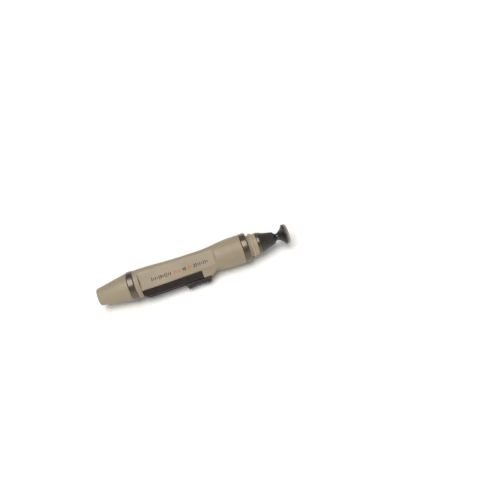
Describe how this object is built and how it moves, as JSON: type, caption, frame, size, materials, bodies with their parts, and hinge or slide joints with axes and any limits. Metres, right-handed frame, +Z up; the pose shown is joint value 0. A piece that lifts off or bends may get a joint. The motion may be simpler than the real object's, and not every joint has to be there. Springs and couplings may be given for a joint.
{
  "type": "lens cleaning pen",
  "caption": "Slim pen with a dished cleaning pad on a flexible neck at one end and a soft brush that a thumb slider pushes out of the other end.",
  "frame": {"origin": "bottom centre of the bounding box, on the table that the pen lies on", "axes": "+X along the pen towards the cleaning tip, +Z up with the pen lying on its two rings and the edge of its slider, -Y the side that the slider points to"},
  "size_m": [0.1172, 0.0206, 0.0177],
  "materials": {
    "taupe_plastic": "fine satin moulded plastic, taupe",
    "black_gloss": "glossy black moulded plastic",
    "black_satin": "satin black moulded plastic",
    "black_rubber": "soft black rubber",
    "inner_plastic": "plain off-white moulded plastic",
    "steel": "bright steel",
    "aluminium": "satin turned aluminium",
    "bristle": "fine dark brown brush hair",
    "foam": "light grey dense felt",
    "chamois": "soft dark chamois charged with carbon"
  },
  "bodies": {
    "root": {"barrel": "taupe_plastic", "slide_track": "black_satin", "rear_ring": "black_gloss", "nose_cone": "taupe_plastic", "front_ring": "black_gloss", "cap_collar": "taupe_plastic", "tip_ring": "black_gloss", "tip_stem": "inner_plastic", "tip_holder": "black_rubber"},
    "slider": {"slider_button": "black_satin", "slider_carriage": "inner_plastic", "detent_spring": "steel", "rod_pin": "steel", "brush_rod": "inner_plastic", "brush_ferrule": "aluminium", "brush_hair": "bristle"},
    "neck": {"tip_neck": "black_rubber"},
    "tip_head": {"tip_cup": "black_rubber", "pad_backing": "foam", "cleaning_pad": "chamois"}
  },
  "joints": [
    {"name": "brush_slide", "type": "slide", "parent": "root", "child": "slider", "axis": [-1, 0, 0], "range_m": [0, 0.024]},
    {"name": "tip_nod", "type": "hinge", "parent": "root", "child": "neck", "pos_m": [0.05135, 0.00144, 0.00885], "axis": [0, 1, 0], "range_deg": [-20, 20], "stiffness_Nm_per_rad": 0.012, "deforming": ["tip_neck"]},
    {"name": "tip_sway", "type": "hinge", "parent": "neck", "child": "tip_head", "pos_m": [0.05235, 0.00144, 0.00885], "axis": [0, 0, 1], "range_deg": [-20, 20], "stiffness_Nm_per_rad": 0.012}
  ]
}
